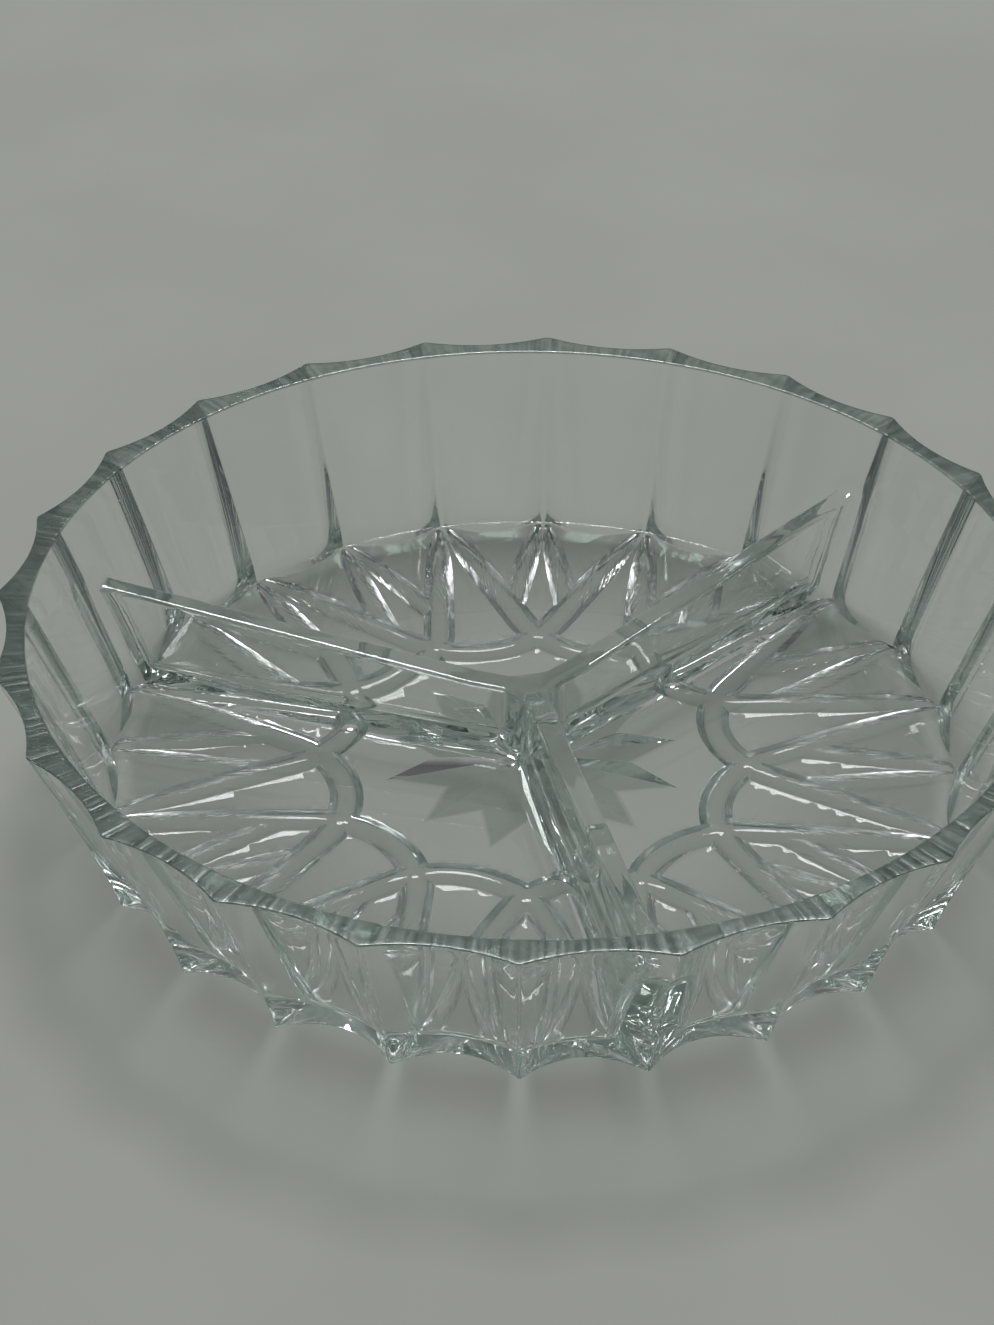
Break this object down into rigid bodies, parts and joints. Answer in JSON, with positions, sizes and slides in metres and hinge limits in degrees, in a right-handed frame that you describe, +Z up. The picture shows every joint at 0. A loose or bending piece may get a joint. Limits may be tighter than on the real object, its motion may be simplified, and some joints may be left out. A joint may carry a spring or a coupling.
{
  "type": "divided relish dish",
  "caption": "Round pressed-glass relish dish with a fluted wall, radiating dividers and an arch-and-star pattern pressed into the underside.",
  "frame": {"origin": "centre of the underside, on the table", "axes": "+Z up along the dish's axis; -Y along the front divider; +X to the right of it"},
  "size_m": [0.2, 0.2, 0.039],
  "materials": {
    "glass": "fire-polished pressed glass, clear with a faint green cast"
  },
  "bodies": {
    "root": {"floor_plate": "glass", "fluted_wall": "glass", "divider_hub": "glass", "divider_front": "glass", "divider_right": "glass", "divider_left": "glass"}
  },
  "joints": []
}
